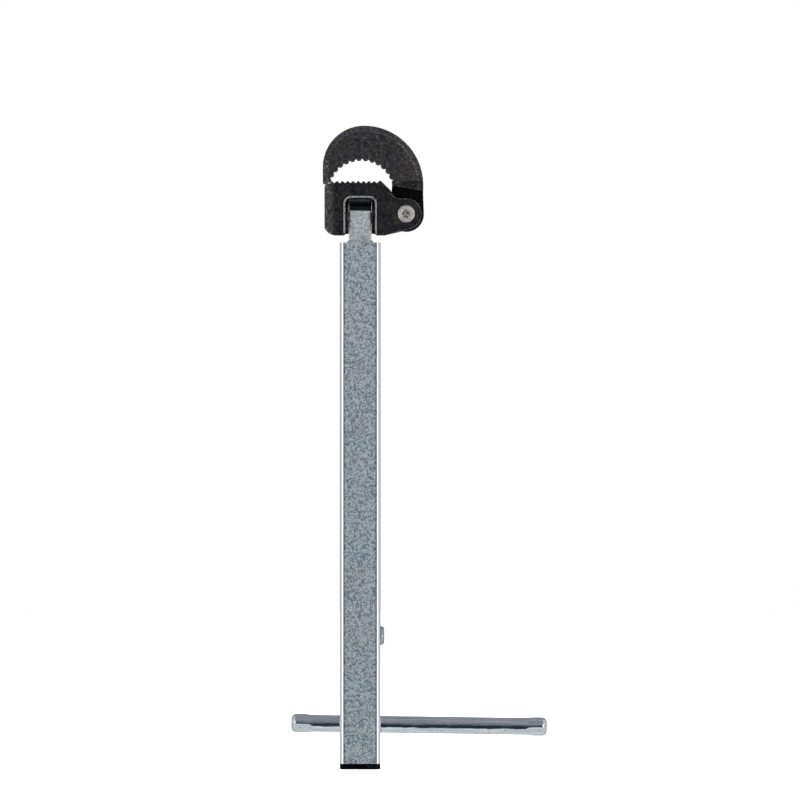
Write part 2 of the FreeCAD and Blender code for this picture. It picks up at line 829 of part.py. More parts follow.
def make_jaw_pin():
    body = new_body("jaw_pin")
    length = size("head_thickness") + size("rivet_proud") * 2
    shank = new_sketch(body, "shank", "XZ_Plane")
    circle(shank, 0, 0, size("jaw_pin_radius"))
    pad(body, "pin", shank, length, both_ways=True)
    end = length.value / 2
    dress(body, "Chamfer", "rims", lambda edge: at_depth(edge, end), size("rivet_chamfer"))
    radius, depth, far = size("dimple_radius"), size("dimple_depth"), length / 2
    for side, sign in (("front", -1), ("back", 1)):
        cone = new_sketch(body, f"{side}_dimple_profile", "YZ_Plane")
        mouth = far * sign
        floor = (far - depth) * sign
        outline(cone, (mouth, 0), (floor, 0), (mouth, radius))
        cut = body.newObject("PartDesign::Groove", f"jaw_pin_{side}_dimple")
        cut.Profile = cone
        cut.ReferenceAxis = (cone, ["H_Axis"])
        cut.Angle = 360
        document.recompute()
    bind(body, "Placement.Base.x", size("pin_x"))
    bind(body, "Placement.Base.z", size("pin_height"))
    return body


# Cross pin: pressed into the heel jaw, running in the tongue.

def make_head_pin():
    body = new_body("head_pin")
    shank = new_sketch(body, "shank", "YZ_Plane", size("head_pin_left"))
    circle(shank, 0, 0, size("head_pin_radius"))
    pad(body, "pin", shank, size("head_pin_right") - size("head_pin_left"))
    dress(body, "Chamfer", "ends", lambda edge: edge.BoundBox.XLength < 1e-3,
          size("head_pin_chamfer"))
    bind(body, "Placement.Base.z", size("tilt_height"))
    return body


# Torsion spring round the jaw pin, in the recess at the back of the tail.

def make_jaw_spring():
    body = new_body("jaw_spring")
    wire, radius = size("jaw_wire"), size("jaw_coil_radius")
    back, reach = jaw_spring_back_leg()
    front = back - size("jaw_rise")
    section = new_sketch(body, "wire", "YZ_Plane")
    circle(section, front, radius, wire / 2)
    add_coil(body, section, size("jaw_rise"), size("jaw_turns"))
    front_leg = new_sketch(body, "front_leg", "XY_Plane", radius)
    circle(front_leg, 0, front, wire / 2)
    pad(body, "front_leg_wire", front_leg, size("front_leg_reach") - radius)
    back_leg = new_sketch(body, "back_leg", "YZ_Plane", -radius)
    circle(back_leg, back, 0, wire / 2)
    pad(body, "back_leg_wire", back_leg, reach - radius, reverse=True)
    bind(body, "Placement.Base.x", size("pin_x"))
    bind(body, "Placement.Base.z", size("pin_height"))
    document.recompute()
    return body


# Leaf spring: a bowed strip in the roof of the fork that presses on the tongue's end.

def make_head_detent_spring():
    body = new_body("head_detent_spring")
    low = size("tongue_top") + size("leaf_lift")
    half, rise, thick = size("leaf_span") / 2, size("leaf_rise"), size("leaf_thickness")
    radius = (half * half + rise * rise) / (rise * 2)
    strip = new_sketch(body, "strip", "YZ_Plane")
    outline(
        strip,
        (half, low + rise, radius), (half, low + rise + thick),
        (-half, low + rise + thick, -radius), (-half, low + rise),
    )
    pad(body, "leaf", strip, size("leaf_width"), both_ways=True)
    return body


MAKERS = (
    make_outer_tube, make_end_cap, make_t_bar, make_inner_bar, make_lock_button,
    make_lock_button_spring, make_heel_jaw, make_hook_jaw, make_jaw_pin, make_head_pin,
    make_jaw_spring, make_head_detent_spring,
)


def check_document():
    """Stop if any feature failed without saying so."""
    for item in document.Objects:
        if {"Invalid", "Error"} & set(item.State):
            raise RuntimeError(f"{item.Name} failed: {item.State}")


def write_parts(bodies):
    """Check each sub-part and write it as a STEP file named after it."""
    os.makedirs("parts", exist_ok=True)
    for body in bodies:
        shape = body.Shape
        if shape.isNull() or not shape.isValid():
            raise RuntimeError(f"{body.Label} has no valid shape")
        shape.exportStep(f"parts/{body.Label}.step")
        print(f"{body.Label}: {len(shape.Solids)} solid, {shape.Volume:.1f} mm3")


sub_parts = [make() for make in MAKERS]
document.recompute()
check_document()
write_parts(sub_parts)
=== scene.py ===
# %% [markdown]
# # Looks for a telescoping basin wrench
#
# A basin wrench reaches up behind a sink. A square zinc-plated tube holds a sliding square bar, the
# bar's tongue carries two black cast jaws, and a round bar through the tube's lower end turns it all.
# The working model is already packed: every piece has its place, its size and the body that it moves
# with. This lesson gives each piece the surface that it has on the bench, and rebuilds the few whose
# real shape is softer or rougher than a working model needs: the two castings, the pressed T-bar and
# the riveted pin.

# %% Load the packed frame
import json
import math

import bpy
from mathutils import Matrix, Vector, noise


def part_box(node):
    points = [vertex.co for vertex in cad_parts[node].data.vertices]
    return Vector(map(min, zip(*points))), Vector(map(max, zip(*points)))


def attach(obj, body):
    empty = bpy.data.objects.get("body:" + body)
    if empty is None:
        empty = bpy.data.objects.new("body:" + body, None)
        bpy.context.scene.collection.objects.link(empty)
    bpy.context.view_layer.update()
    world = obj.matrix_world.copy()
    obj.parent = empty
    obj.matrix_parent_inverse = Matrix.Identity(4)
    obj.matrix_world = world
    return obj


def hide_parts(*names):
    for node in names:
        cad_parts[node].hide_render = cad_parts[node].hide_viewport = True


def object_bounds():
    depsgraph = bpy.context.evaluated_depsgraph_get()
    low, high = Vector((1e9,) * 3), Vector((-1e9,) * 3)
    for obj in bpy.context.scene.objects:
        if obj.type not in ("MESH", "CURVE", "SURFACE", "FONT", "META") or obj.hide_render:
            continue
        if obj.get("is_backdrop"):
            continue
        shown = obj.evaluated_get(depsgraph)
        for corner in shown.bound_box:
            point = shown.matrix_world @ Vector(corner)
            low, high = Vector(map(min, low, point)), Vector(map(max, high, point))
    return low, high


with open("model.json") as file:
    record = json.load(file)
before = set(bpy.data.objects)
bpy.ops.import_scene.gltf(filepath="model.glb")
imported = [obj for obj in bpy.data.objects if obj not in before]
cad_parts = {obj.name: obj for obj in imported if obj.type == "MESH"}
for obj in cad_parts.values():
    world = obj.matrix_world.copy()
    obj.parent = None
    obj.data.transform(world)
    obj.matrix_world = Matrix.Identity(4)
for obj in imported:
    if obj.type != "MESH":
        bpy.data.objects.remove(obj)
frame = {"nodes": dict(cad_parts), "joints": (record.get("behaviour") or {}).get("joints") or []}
cad_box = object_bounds()
MM = 0.001
print("pieces in the frame:", ", ".join(sorted(frame["nodes"])))
print("overall size in mm:", [round((high - low) / MM, 1) for low, high in zip(*cad_box)])

# %% [markdown]
# ## The camera
#
# A long lens set far back is how a catalogue draws a tool: the tube's sides stay parallel, and the
# front face doesn't grow towards the middle. An orthographic camera would do that too, but it looks
# flat from the side. The lens follows from the distance and from how wide a strip has to fit, so only
# those two numbers are chosen. The tool stands left of the middle, because its T-bar reaches out to
# the right.

# %% Place the camera
CAMERA_DISTANCE = 4.0
VIEW_WIDTH = 0.3941
VIEW_CENTRE_X = 0.0196
VIEW_CENTRE_Z = 0.1816
CLIP_END = 30.0

camera_data = bpy.data.cameras.new("camera")
camera_data.lens = camera_data.sensor_width * CAMERA_DISTANCE / VIEW_WIDTH
camera_data.clip_end = CLIP_END
camera = bpy.data.objects.new("camera", camera_data)
camera.location = (VIEW_CENTRE_X, -CAMERA_DISTANCE, VIEW_CENTRE_Z)
camera.rotation_euler = (math.pi / 2, 0, 0)
bpy.context.scene.collection.objects.link(camera)
bpy.context.scene.camera = camera
print("lens in mm:", round(camera_data.lens))

# %% [markdown]
# ## Sums that make their own nodes
#
# A finish is mostly arithmetic: one pattern times another, one minus a mask. Node by node that takes
# a page for each line of thought. The class below wraps one output socket and answers to +, - and *,
# so the arithmetic is written as arithmetic. A vector goes through Vector Math and a number through
# Math, because Math would turn a vector into one number. Every other node comes from `make`, which
# takes the node's type, its settings, and what goes into its sockets.

# %% The socket class and the node maker


def make(tree, kind, settings=(), sockets=(), out=0):
    """A new node of that type; its output socket, wrapped."""
    node = tree.nodes.new(kind)
    for name, value in dict(settings).items():
        setattr(node, name, value)
    for name, value in dict(sockets).items():
        if isinstance(value, Value):
            tree.links.new(value.socket, node.inputs[name])
        else:
            node.inputs[name].default_value = value
    return Value(tree, node.outputs[out])


class Value:
    """One output socket that can be used in a sum."""

    def __init__(self, tree, socket):
        self.tree = tree
        self.socket = socket

    def sum(self, operation, *terms):
        vectors = [t for t in terms if isinstance(t, Value) and t.socket.type == "VECTOR"]
        kind = "ShaderNodeVectorMath" if vectors else "ShaderNodeMath"
        if vectors:
            terms = [t if isinstance(t, (Value, tuple)) else (t, t, t) for t in terms]
        return make(self.tree, kind, {"operation": operation}, dict(enumerate(terms)))

    def __add__(self, other):
        return self.sum("ADD", self, other)

    def __sub__(self, other):
        return self.sum("SUBTRACT", self, other)

    def __rsub__(self, other):
        return self.sum("SUBTRACT", other, self)

    def __mul__(self, other):
        return self.sum("MULTIPLY", self, other)

    def __abs__(self):
        return self.sum("ABSOLUTE", self)

    __radd__ = __add__
    __rmul__ = __mul__

    def at_least(self, floor):
        return self.sum("MAXIMUM", self, floor)

    def length(self):
        """How long this vector is."""
        return make(self.tree, "ShaderNodeVectorMath", {"operation": "LENGTH"}, {0: self}, out=1)

    def between(self, low, high):
        """0 below low, 1 above high, and a smooth step from one to the other."""
        return make(
            self.tree,
            "ShaderNodeMapRange",
            {"interpolation_type": "SMOOTHSTEP"},
            {"Value": self, "From Min": low, "From Max": high},
        )

    def blend(self, first, second):
        """A number that is first where this mask is 0 and second where it is 1."""
        return self * (second - first) + first

    def tint(self, first, second):
        """A colour that is first where this mask is 0 and second where it is 1."""
        mix = {"Factor": self, 6: opaque(first), 7: opaque(second)}
        return make(self.tree, "ShaderNodeMix", {"data_type": "RGBA"}, mix, out=2)


def opaque(colour):
    """A colour with its alpha, or a socket as it is."""
    return colour if isinstance(colour, Value) else (*colour, 1.0)


print("sums are ready:", ", ".join(name for name in vars(Value) if not name.startswith("_")))

# %% [markdown]
# ## A light tent
#
# Bright metal shows its surroundings and little else, so the room decides how the zinc looks. A
# product is shot in a tent of white cloth. The table is pale, the roof is dimmer, and the slot that
# the camera looks through is dark: it draws the black line along a polished rod and keeps a flat
# front face grey. A glowing white cloth on each side of the slot turns every rounded edge into a
# white line. Further round, the walls fall off to grey, because white walls all round would leave no
# contrast in the metal. Only matt things, the floor above all, are still lit by white walls all
# round. The tent is painted on the world by direction, which gives clean reflections at every height
# of the tool, and the camera itself sees plain white behind it.

# %% Paint the tent on the world
TENT_ROOF_LOW = (0.12, 0.145, 0.18)
TENT_ROOF_HIGH = (0.285, 0.295, 0.32)
TENT_TABLE = (0.62, 0.66, 0.66)
TENT_SIDES = (2.3, 2.35, 2.4)
TENT_BACK = (0.62, 0.63, 0.63)
TENT_REAR = (0.33, 0.34, 0.36)
TENT_SLOT = (0.022, 0.028, 0.040)
BACKDROP = (1.0, 1.0, 1.0)
# Where one cloth starts to turn into the next and where it is fully there, as parts of a direction
# of length one: up, east, or north, which points away from the camera.
SOFT_EDGE = 0.05
SLOT_TOP = math.sin(math.radians(1))
SLOT_TOP_SOFTNESS = 0.1
SLOT_BOTTOM = math.sin(math.radians(-35))
SLOT_START, SLOT_GONE = -0.2, 0.0
ROOF_START, ROOF_FULL = 0.1, 0.8
FAR_ROOF_START, FAR_ROOF_FULL = -0.4, 0.0
SIDES_START, SIDES_FULL = 0.30, 0.48
BACK_START, BACK_FULL = -0.90, -0.66
REAR_START, REAR_FULL = 0.1, 0.5

world = bpy.data.worlds.new("light_tent")
world.use_nodes = True
bpy.context.scene.world = world
tree = world.node_tree
direction = make(tree, "ShaderNodeTexCoord", out="Generated")
east, north, up = (
    make(tree, "ShaderNodeSeparateXYZ", sockets={0: direction}, out=axis) for axis in "XYZ"
)
roof = up.between(ROOF_START, ROOF_FULL).tint(TENT_ROOF_LOW, TENT_ROOF_HIGH)
roof = north.between(FAR_ROOF_START, FAR_ROOF_FULL).tint(roof, TENT_ROOF_HIGH)
above_slot = up.between(SLOT_TOP, SLOT_TOP + SLOT_TOP_SOFTNESS)
slot = up.between(SLOT_BOTTOM - SOFT_EDGE, SLOT_BOTTOM) * (1 - above_slot)
slot = slot * (1 - north.between(SLOT_START, SLOT_GONE))
middle = slot.tint(up.between(-SOFT_EDGE, SOFT_EDGE).tint(TENT_TABLE, roof), TENT_SLOT)
lights_matt = make(tree, "ShaderNodeLightPath", out="Is Diffuse Ray")
grey = north.between(REAR_START, REAR_FULL).tint(TENT_BACK, TENT_REAR)
walls = (north.between(BACK_START, BACK_FULL) * (1 - lights_matt)).tint(TENT_SIDES, grey)
tent = abs(east).between(SIDES_START, SIDES_FULL).tint(middle, walls)
seen_by_camera = make(tree, "ShaderNodeLightPath", out="Is Camera Ray")
colour = seen_by_camera.tint(tent, BACKDROP)
tree.links.new(colour.socket, tree.nodes["Background"].inputs["Color"])
print("nodes in the tent:", len(tree.nodes))

# %% [markdown]
# ## Floor and top light
#
# The floor is a plain pale disc. Reflections don't see it, since the tent already holds the table's
# glow, but it catches the soft shadow that seats the tool. One wide lamp overhead brings the floor up
# to white and is kept out of the reflections too, or it would draw a hard disc on the rod. The
# Standard view transform leaves white as white, which a plain white backdrop needs.

# %% Make the floor and the lamp
FLOOR_RADIUS = 3.0
FLOOR_CORNERS = 96
FLOOR_COLOUR = (0.9, 0.9, 0.9)
FLOOR_ROUGHNESS = 0.9
LAMP_HEIGHT = 2.0
LAMP_WIDTH = 2.4
LAMP_POWER = 75.0

bpy.context.scene.view_settings.view_transform = "Standard"
bpy.ops.mesh.primitive_circle_add(vertices=FLOOR_CORNERS, radius=FLOOR_RADIUS, fill_type="NGON")
floor = bpy.context.object
floor.name = "floor"
floor.visible_glossy = False
floor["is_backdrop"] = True
floor_material = bpy.data.materials.new("pale_floor")
floor_material.use_nodes = True
floor_shader = floor_material.node_tree.nodes["Principled BSDF"]
floor_shader.inputs["Base Color"].default_value = opaque(FLOOR_COLOUR)
floor_shader.inputs["Roughness"].default_value = FLOOR_ROUGHNESS
floor.data.materials.append(floor_material)

lamp_data = bpy.data.lights.new("top_light", "AREA")
lamp_data.shape = "DISK"
lamp_data.size = LAMP_WIDTH
lamp_data.energy = LAMP_POWER
lamp = bpy.data.objects.new("top_light", lamp_data)
lamp.location = (0, 0, LAMP_HEIGHT)
lamp.visible_glossy = False
lamp.visible_camera = False
bpy.context.scene.collection.objects.link(lamp)
print("lamp:", LAMP_WIDTH, "m wide,", LAMP_HEIGHT, "m up; floor:", 2 * FLOOR_RADIUS, "m wide")

# %% [markdown]
# ## Patterns that every finish shares
#
# All patterns are read in the piece's own coordinates, in metres, so a two-millimetre swell is two
# millimetres on every piece and moves with it. `cloud` is soft noise of a given grain size, and
# stretching its coordinates first turns it into drawn lines. `ridge` finds the edges that rub.
# `Finish` holds one material and sets the shader: plain numbers go straight onto the shader's own
# sockets, and what varies over the surface is linked.

# %% The finish class


class Finish:
    """One procedural material, and the patterns that it is made of."""

    def __init__(self, name):
        self.material = bpy.data.materials.new(name)
        self.material.use_nodes = True
        self.tree = self.material.node_tree
        self.shader = self.tree.nodes["Principled BSDF"]
        self.place = make(self.tree, "ShaderNodeTexCoord", out="Object")

    def ridge(self):
        """On a finely divided mesh, below a half in a hollow and above a half on a ridge."""
        return make(self.tree, "ShaderNodeNewGeometry", out="Pointiness")

    def axes(self, *names):
        """The piece's own coordinates along these axes, in metres."""
        kind = "ShaderNodeSeparateXYZ"
        return [make(self.tree, kind, sockets={0: self.place}, out=name) for name in names]

    def cloud(self, size, detail=2.0, stretch=(1, 1, 1), distortion=0.0):
        """Soft noise with blotches of about that size in metres, longer where stretch is above 1."""
        place = self.place * tuple(1 / (size * s) for s in stretch)
        sockets = {"Vector": place, "Scale": 1.0, "Detail": detail, "Distortion": distortion}
        return make(self.tree, "ShaderNodeTexNoise", sockets=sockets, out="Fac")

    def surface(self, height=None, **sockets):
        """Sets the shader. Names are the shader's own, with _ for a space; height is in metres."""
        for name, value in sockets.items():
            socket = self.shader.inputs[name.replace("_", " ")]
            if isinstance(value, Value):
                self.tree.links.new(value.socket, socket)
            else:
                socket.default_value = (*value, 1.0) if isinstance(value, tuple) else value
        if height is not None:
            bump = make(self.tree, "ShaderNodeBump", sockets={"Height": height, "Distance": 1.0})
            self.tree.links.new(bump.socket, self.shader.inputs["Normal"])
        print("finish", self.material.name, "has", len(self.tree.nodes), "nodes")
        return self.material


finishes = {}
print("a finish can make:", ", ".join(name for name in vars(Finish) if not name.startswith("_")))

# %% [markdown]
# ## Galvanised tube
#
# The tube is rolled from zinc-coated strip. Close up it has an orange-peel skin: small smooth swells,
# one to two millimetres across, that catch light and dark by turns, with darker freckles where the
# zinc has dulled. The swells bend the tent's reflection by a few degrees, a second, finer cloud
# breaks them up, and the same two clouds shift the colour, so light and dark keep to the swells. A
# pattern of cells would draw the hard crystals of a dipped bucket; this strip has soft blotches, so
# noise does it. The rollers burnish the corners bright and smooth, and a painted shade darkens each
# face on the brink of its corner.

# %% Mix the galvanised finish
CORNER_RADIUS = 1.9 * MM
CORNER_BLEND = 0.35 * MM
BRINK_WIDTH = 1.0 * MM
SWELL_SIZE, SWELL_HEIGHT = 1.5 * MM, 0.20 * MM
FLECK_SIZE, FLECK_HEIGHT = 0.6 * MM, 0.09 * MM
FRECKLE_SIZE = 1.1 * MM
DRIFT_SIZE = 14 * MM
COOL_ZINC = (0.26, 0.34, 0.42), (0.91, 1.0, 1.0)
WARM_ZINC = (0.30, 0.35, 0.40), (0.95, 0.98, 1.0)
DULLED_ZINC = (0.26, 0.29, 0.33)
# painted shade for the brink of each face beside its corner
BRINK_SHADE = (0.04, 0.045, 0.05)
BURNISHED_ZINC = (0.90, 0.93, 0.97)


def galvanised_tube():
    finish = Finish("galvanised_tube")
    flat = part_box("outer_tube")[1].x - CORNER_RADIUS
    east, north = (abs(axis) for axis in finish.axes("X", "Y"))
    corner = east.between(flat, flat + CORNER_BLEND) * north.between(flat, flat + CORNER_BLEND)
    # painted shade: each face darkens on the brink of its corner
    start, full = flat - BRINK_WIDTH, flat - BRINK_WIDTH / 2
    brink = east.between(start, full) * north.between(start, full)
    swells = finish.cloud(SWELL_SIZE, detail=1.0, distortion=0.8)
    flecks = finish.cloud(FLECK_SIZE, detail=2.0, distortion=0.5)
    shine = (swells * 0.45 + flecks * 0.55).between(0.41, 0.56)
    freckles = finish.cloud(FRECKLE_SIZE, detail=1.0).between(0.60, 0.70)
    drift = finish.cloud(DRIFT_SIZE).between(0.4, 0.65)
    zinc = drift.tint(shine.tint(*COOL_ZINC), shine.tint(*WARM_ZINC))
    face = (freckles * 0.8).tint(zinc, DULLED_ZINC)
    return finish.surface(
        Base_Color=corner.tint((brink * 0.45).tint(face, BRINK_SHADE), BURNISHED_ZINC),
        Metallic=1.0,
        Roughness=corner.blend(shine.blend(0.50, 0.40), 0.20),
        height=(1 - corner) * (swells * SWELL_HEIGHT + flecks * FLECK_HEIGHT),
    )


finishes["galvanised_tube"] = galvanised_tube()

# %% [markdown]
# ## Zinc on the sliding bar
#
# The bar is cold-drawn square stock, milled down to a tongue and then plated. It has a more even skin
# than the tube: a fine satin grain with faint draw lines along its length. The tongue stays bright,
# the length inside the tube is duller with painted shade, and the tongue's bevelled end, where a
# spring bears on it, is dark with painted shade. Height alone tells these three apart, so the masks
# need no map of the mesh, and they travel with the bar when it slides.

# %% Mix the satin zinc
TUBE_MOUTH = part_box("outer_tube")[1].z
SLIDING_FADE = 2 * MM
BEVEL_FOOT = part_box("inner_bar")[1].z - 2.5 * MM
BEVEL_SHADE_EDGE = 0.1 * MM
GRAIN_SIZE, GRAIN_HEIGHT = 0.45 * MM, 0.03 * MM
PATCH_SIZE, PATCH_HEIGHT = 1.3 * MM, 0.05 * MM
LINE_WIDTH, LINE_HEIGHT = 0.25 * MM, 0.004 * MM
SATIN_ZINC = (0.42, 0.46, 0.49), (0.97, 1.0, 1.0)
# painted shade for the length of the bar inside the tube
TUBE_SHADE_ZINC = (0.16, 0.17, 0.175)
# painted shade for the tongue's bevelled end
BEVEL_SHADE = (0.020, 0.030, 0.034), (0.10, 0.12, 0.13)


def zinc_bar():
    finish = Finish("zinc_bar")
    grain = finish.cloud(GRAIN_SIZE, detail=3.0)
    patches = finish.cloud(PATCH_SIZE, detail=1.5, distortion=0.6)
    drawn = finish.cloud(LINE_WIDTH, detail=2.0, stretch=(1, 1, 60))
    even = (grain * 0.35 + patches * 0.5 + drawn * 0.15).between(0.38, 0.62)
    (up,) = finish.axes("Z")
    # painted shade: the length below the tube's mouth is darker, as if shaded by the tube
    sliding = 1 - up.between(TUBE_MOUTH - SLIDING_FADE, TUBE_MOUTH)
    zinc = (sliding * 0.55).tint(even.tint(*SATIN_ZINC), TUBE_SHADE_ZINC)
    # painted shade: the tongue's bevelled end is darkened
    bevel_shade_mask = up.between(BEVEL_FOOT - BEVEL_SHADE_EDGE, BEVEL_FOOT + BEVEL_SHADE_EDGE)
    return finish.surface(
        Base_Color=bevel_shade_mask.tint(zinc, grain.between(0.35, 0.65).tint(*BEVEL_SHADE)),
        Metallic=0.9,
        Roughness=even.blend(0.56, 0.40),
        height=grain * GRAIN_HEIGHT + drawn * LINE_HEIGHT + patches * PATCH_HEIGHT,
    )


finishes["zinc_bar"] = zinc_bar()

# %% [markdown]
# ## Bright zinc on the T-bar
#
# The T-bar is a smooth drawn rod with bright plating, the shiniest part of the tool. Its reflections
# are clean but not perfect: long shallow ripples from the drawing die waver the dark line, and light
# handling marks dull it here and there. Ripples this shallow would take very many faces as real
# waves, so they are only in the bump.

# %% Mix the bright zinc
STREAK_WIDTH, STREAK_HEIGHT = 0.6 * MM, 0.015 * MM
RIPPLE_SIZE, RIPPLE_HEIGHT = 2.2 * MM, 0.18 * MM
MARK_SIZE = 1.2 * MM
BRIGHT_ZINC = (0.68, 0.73, 0.79), (0.93, 0.95, 0.97)
HANDLED_ZINC = (0.60, 0.62, 0.65)


def zinc_rod():
    finish = Finish("zinc_rod")
    drawn = finish.cloud(STREAK_WIDTH, detail=2.0, stretch=(40, 1, 1))
    ripples = finish.cloud(RIPPLE_SIZE, detail=1.0, stretch=(2.5, 1, 1))
    marks = finish.cloud(MARK_SIZE, detail=4.0, distortion=1.5).between(0.52, 0.70)
    return finish.surface(
        Base_Color=marks.tint(drawn.between(0.40, 0.62).tint(*BRIGHT_ZINC), HANDLED_ZINC),
        Metallic=1.0,
        Roughness=marks.blend(0.10, 0.24) + drawn * 0.05,
        height=drawn * STREAK_HEIGHT + ripples * RIPPLE_HEIGHT,
    )


finishes["zinc_rod"] = zinc_rod()

# %% [markdown]
# ## Bare steel: pin and button
#
# The cross pin and the button are turned from bright steel. They are tumbled after turning, which
# leaves soft dents, and they pick up a slight warm stain in patches and in the hollows. Both pieces
# are small and smooth, so one noise for the dents and one for the stain are enough.

# %% Mix the polished steel
DENT_SIZE, DENT_DEPTH = 0.8 * MM, 0.03 * MM
STAIN_SIZE = 1.4 * MM
STAINED_STEEL = (0.60, 0.60, 0.59), (0.38, 0.37, 0.34)
HOLLOW_STEEL = (0.30, 0.27, 0.23)


def polished_steel():
    finish = Finish("polished_steel")
    dents = finish.cloud(DENT_SIZE, detail=2.0, distortion=0.5)
    stain = finish.cloud(STAIN_SIZE, detail=3.0).between(0.50, 0.68)
    hollow = 1 - finish.ridge().between(0.42, 0.50)
    return finish.surface(
        Base_Color=hollow.tint(stain.tint(*STAINED_STEEL), HOLLOW_STEEL),
        Metallic=1.0,
        Roughness=stain.blend(0.20, 0.34),
        height=dents * DENT_DEPTH,
    )


finishes["polished_steel"] = polished_steel()

# %% [markdown]
# ## Spring wire
#
# Springs are hard-drawn steel, blued by the heat that sets them. The draw leaves a very fine grain,
# and a straw-to-blue tint drifts along the metal. The tint could follow the wire's own length, but
# a coil has no simple coordinate for that, and noise in space looks the same on so short a spring.

# %% Mix the spring steel
HEAT_SIZE = 2.5 * MM
WIRE_LINE, WIRE_LINE_HEIGHT = 0.12 * MM, 0.004 * MM
HEAT_TINTS = (0.20, 0.16, 0.12), (0.12, 0.14, 0.20)


def spring_steel():
    finish = Finish("spring_steel")
    heat = finish.cloud(HEAT_SIZE, detail=1.0).between(0.40, 0.62)
    lines = finish.cloud(WIRE_LINE, detail=3.0)
    return finish.surface(
        Base_Color=heat.tint(*HEAT_TINTS),
        Metallic=1.0,
        Roughness=lines.blend(0.24, 0.44),
        height=lines * WIRE_LINE_HEIGHT,
    )


finishes["spring_steel"] = spring_steel()

# %% [markdown]
# ## Black on the castings
#
# The jaws are sand-cast steel with a black oxide skin. The skin is matt and granular, a little brown
# in places, sprinkled with pale specks where the sand has left the metal bare. Edges that rub show
# through as grey. The mesh of a casting is finely divided, so the ridge mask finds those edges by
# itself; on the hook's right side more edges turn grey as a painted highlight. The heel jaw carries
# painted light and shade: its rounded left side is painted paler as if lit, the bevel round the mouth
# of its fork has a painted highlight, and the recesses of its fork and of its slot for the hook have
# painted shade, deep black. Such marks could be painted on by hand, but masks by place need no map of
# the mesh and can be moved by one number.

# %% Find the places that get painted light and shade
FORK_HALF = 7.1 * MM
FORK_ROOF = 280.8 * MM
FORK_CORNER = 2.6 * MM
FORK_FRONT = 7.8 * MM
RIM_START = FORK_CORNER + 0.2 * MM
RIM_END = FORK_CORNER + 0.95 * MM
RIM_EDGE = 0.2 * MM
HEEL_TOP = 289.5 * MM
HEEL_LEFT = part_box("heel_jaw")[0].x
SIDE_START, SIDE_ROUND = 2.6 * MM, 5.4 * MM
HINGE_START, HINGE_FULL = 10 * MM, 12 * MM
HINGE_HALF = 3.6 * MM
MASK_EDGE = 0.3 * MM


def fork_rim(finish):
    """Two masks: the heel jaw's fork mouth bevel (painted highlight) and all inside it (painted
    shade).
    """
    east, north, up = finish.axes("X", "Y", "Z")
    across = (abs(east) - (FORK_HALF - FORK_CORNER)).at_least(0.0)
    above = (up - (FORK_ROOF - FORK_CORNER)).at_least(0.0)
    reach = make(finish.tree, "ShaderNodeCombineXYZ", sockets={"X": across, "Z": above}).length()
    outside = reach.between(RIM_END, RIM_END + RIM_EDGE)
    rim_highlight_mask = reach.between(RIM_START, RIM_START + RIM_EDGE) * (1 - outside)
    front = abs(north).between(FORK_FRONT, FORK_FRONT + MASK_EDGE)
    return rim_highlight_mask * front, 1 - reach.between(RIM_START - RIM_EDGE / 2, RIM_START + RIM_EDGE / 2)


def heel_places(finish):
    """Three masks: the heel jaw, its rounded left side (painted light), its hook slot (painted shade).
    """
    east, north, up = finish.axes("X", "Y", "Z")
    heel = 1 - up.between(HEEL_TOP - 0.5 * MM, HEEL_TOP)
    left = 1 - east.between(HEEL_LEFT + SIDE_START, HEEL_LEFT + SIDE_ROUND)
    narrow = 1 - abs(north).between(HINGE_HALF, HINGE_HALF + MASK_EDGE)
    return heel, heel * left, narrow * east.between(HINGE_START, HINGE_FULL) * heel


print("heel jaw's left side and top in mm:", round(HEEL_LEFT / MM, 1), round(HEEL_TOP / MM, 1))

# %% Mix the black casting
SAND_SIZE, SAND_HEIGHT = 0.5 * MM, 0.05 * MM
LUMP_SIZE, LUMP_HEIGHT = 1.6 * MM, 0.06 * MM
BROWN_SIZE = 6.0 * MM
SPECK_SIZE = 0.7 * MM
RUB_SIZE = 0.9 * MM
# grain that breaks up the painted highlight on the fork's mouth
RIM_HIGHLIGHT_GRAIN = 0.6 * MM
OXIDE = (0.003, 0.003, 0.004), (0.028, 0.026, 0.030)
HEEL_OXIDE = (0.0020, 0.0020, 0.0030)
# painted shade for the recesses of the fork and the hook slot
RECESS_SHADE = (0.001, 0.001, 0.001)
BROWNED = (0.020, 0.018, 0.010)
# painted light for the heel jaw's rounded left side
LIT_SIDE = (0.010, 0.010, 0.008), (0.055, 0.054, 0.048)
SPECK = (0.12, 0.12, 0.125)
# painted highlight for the bevel round the fork's mouth
RIM_HIGHLIGHT = (0.22, 0.22, 0.23)
# worn edges, and the painted highlight on the hook's right side
WORN_EDGE_AND_HIGHLIGHT = (0.26, 0.26, 0.27)
# where the painted edge highlight on the hook's right side starts and is full
HOOK_HIGHLIGHT_START, HOOK_HIGHLIGHT_FULL = 12 * MM, 22 * MM


